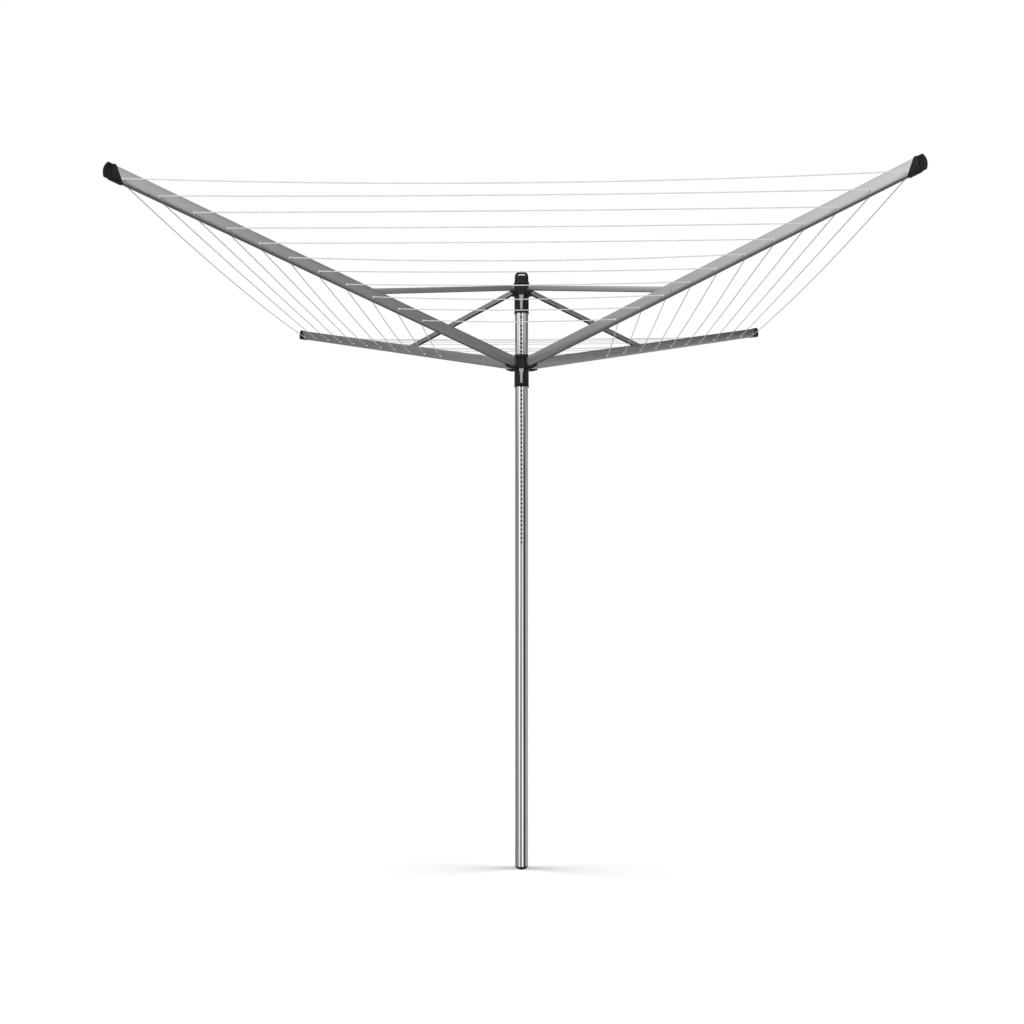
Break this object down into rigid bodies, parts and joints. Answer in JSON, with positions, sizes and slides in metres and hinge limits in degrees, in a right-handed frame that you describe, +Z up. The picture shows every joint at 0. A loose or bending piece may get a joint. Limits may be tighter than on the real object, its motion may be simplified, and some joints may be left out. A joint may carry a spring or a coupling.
{
  "type": "rotary clothesline",
  "caption": "Folding umbrella clothes dryer: arms with square rounds of line, held out by braces from two sliding hubs on a mast that stands in a ground socket.",
  "frame": {"origin": "centre of the mast's lower end", "axes": "+Z up along the mast; -Y is the side with the row of height holes and the catch levers; the arms point at 45, 135, 225 and 315 degrees"},
  "size_m": [2.0558, 2.0558, 2.091],
  "materials": {
    "mast": "polished, drawn lengthwise",
    "arm_metal": "satin",
    "brace_metal": "satin",
    "black_plastic": "fine moulded grain",
    "grey_plastic": "smooth moulded",
    "eyelet_plastic": "smooth",
    "pin_steel": "zinc plated",
    "clothes_line": "sheathed cord"
  },
  "bodies": {
    "mast": {"mast_tube": "mast", "mast_foot": "black_plastic", "top_cap": "black_plastic"},
    "upper_hub": {"upper_hub": "black_plastic", "upper_hub_bushes": "grey_plastic", "upper_hub_pins": "pin_steel", "upper_catch_pin": "pin_steel", "upper_catch_spring": "pin_steel"},
    "upper_catch": {"upper_catch_lever": "grey_plastic"},
    "brace_1": {"brace_1": "brace_metal"},
    "brace_2": {"brace_2": "brace_metal"},
    "brace_3": {"brace_3": "brace_metal"},
    "brace_4": {"brace_4": "brace_metal"},
    "arm_1": {"arm_1": "arm_metal", "arm_tip_1": "black_plastic", "line_eyelets_1": "eyelet_plastic", "brace_pin_1": "pin_steel", "clothes_line_1": "clothes_line"},
    "arm_2": {"arm_2": "arm_metal", "arm_tip_2": "black_plastic", "line_eyelets_2": "eyelet_plastic", "brace_pin_2": "pin_steel", "clothes_line_2": "clothes_line"},
    "arm_3": {"arm_3": "arm_metal", "arm_tip_3": "black_plastic", "line_eyelets_3": "eyelet_plastic", "brace_pin_3": "pin_steel", "clothes_line_3": "clothes_line"},
    "arm_4": {"arm_4": "arm_metal", "arm_tip_4": "black_plastic", "line_eyelets_4": "eyelet_plastic", "brace_pin_4": "pin_steel", "clothes_line_4": "clothes_line"},
    "lower_hub": {"lower_hub": "black_plastic", "lower_hub_bushes": "grey_plastic", "lower_hub_pins": "pin_steel", "lower_catch_pin": "pin_steel", "lower_catch_spring": "pin_steel"},
    "lower_catch": {"lower_catch_lever": "grey_plastic"}
  },
  "joints": [
    {"name": "umbrella_height", "type": "slide", "parent": "mast", "child": "upper_hub", "axis": [0, 0, 1], "range_m": [-0.36, 0], "deforming": ["upper_catch_spring", "lower_catch_spring"]},
    {"name": "fold", "type": "hinge", "parent": "upper_hub", "child": "brace_1", "pos_m": [0.03253, 0.03253, 2.014], "axis": [-0.7071, 0.7071, 0], "range_deg": [0, 72.83], "deforming": ["clothes_line_1", "clothes_line_2", "clothes_line_3", "clothes_line_4", "lower_catch_spring"]},
    {"name": "brace_2_swing", "type": "hinge", "parent": "upper_hub", "child": "brace_2", "pos_m": [-0.03253, 0.03253, 2.014], "axis": [-0.7071, -0.7071, 0], "range_deg": [0, 72.83]},
    {"name": "brace_3_swing", "type": "hinge", "parent": "upper_hub", "child": "brace_3", "pos_m": [-0.03253, -0.03253, 2.014], "axis": [0.7071, -0.7071, 0], "range_deg": [0, 72.83]},
    {"name": "brace_4_swing", "type": "hinge", "parent": "upper_hub", "child": "brace_4", "pos_m": [0.03253, -0.03253, 2.014], "axis": [0.7071, 0.7071, 0], "range_deg": [0, 72.83]},
    {"name": "arm_1_lift", "type": "hinge", "parent": "brace_1", "child": "arm_1", "pos_m": [0.46957, 0.46957, 1.892], "axis": [-0.7071, 0.7071, 0], "range_deg": [-145.67, 0]},
    {"name": "arm_2_lift", "type": "hinge", "parent": "brace_2", "child": "arm_2", "pos_m": [-0.46957, 0.46957, 1.892], "axis": [-0.7071, -0.7071, 0], "range_deg": [-145.67, 0]},
    {"name": "arm_3_lift", "type": "hinge", "parent": "brace_3", "child": "arm_3", "pos_m": [-0.46957, -0.46957, 1.892], "axis": [0.7071, -0.7071, 0], "range_deg": [-145.67, 0]},
    {"name": "arm_4_lift", "type": "hinge", "parent": "brace_4", "child": "arm_4", "pos_m": [0.46957, -0.46957, 1.892], "axis": [0.7071, 0.7071, 0], "range_deg": [-145.67, 0]},
    {"name": "lower_hub_level", "type": "hinge", "parent": "arm_1", "child": "lower_hub", "pos_m": [0.03253, 0.03253, 1.77], "axis": [-0.7071, 0.7071, 0], "range_deg": [0, 72.83]},
    {"name": "upper_catch_press", "type": "hinge", "parent": "upper_hub", "child": "upper_catch", "pos_m": [0, -0.0288, 1.969], "axis": [1, 0, 0], "range_deg": [-7, 0], "stiffness_Nm_per_rad": 0.8, "deforming": ["upper_catch_spring"]},
    {"name": "lower_catch_press", "type": "hinge", "parent": "lower_hub", "child": "lower_catch", "pos_m": [0, -0.0288, 1.714], "axis": [1, 0, 0], "range_deg": [-7, 0], "stiffness_Nm_per_rad": 0.8, "deforming": ["lower_catch_spring"]}
  ],
  "couplings": [
    {"joint": "brace_2_swing", "follows": "fold", "ratio": 1},
    {"joint": "brace_3_swing", "follows": "fold", "ratio": 1},
    {"joint": "brace_4_swing", "follows": "fold", "ratio": 1},
    {"joint": "arm_1_lift", "follows": "fold", "ratio": -2},
    {"joint": "arm_2_lift", "follows": "fold", "ratio": -2},
    {"joint": "arm_3_lift", "follows": "fold", "ratio": -2},
    {"joint": "arm_4_lift", "follows": "fold", "ratio": -2},
    {"joint": "lower_hub_level", "follows": "fold", "ratio": 1}
  ]
}
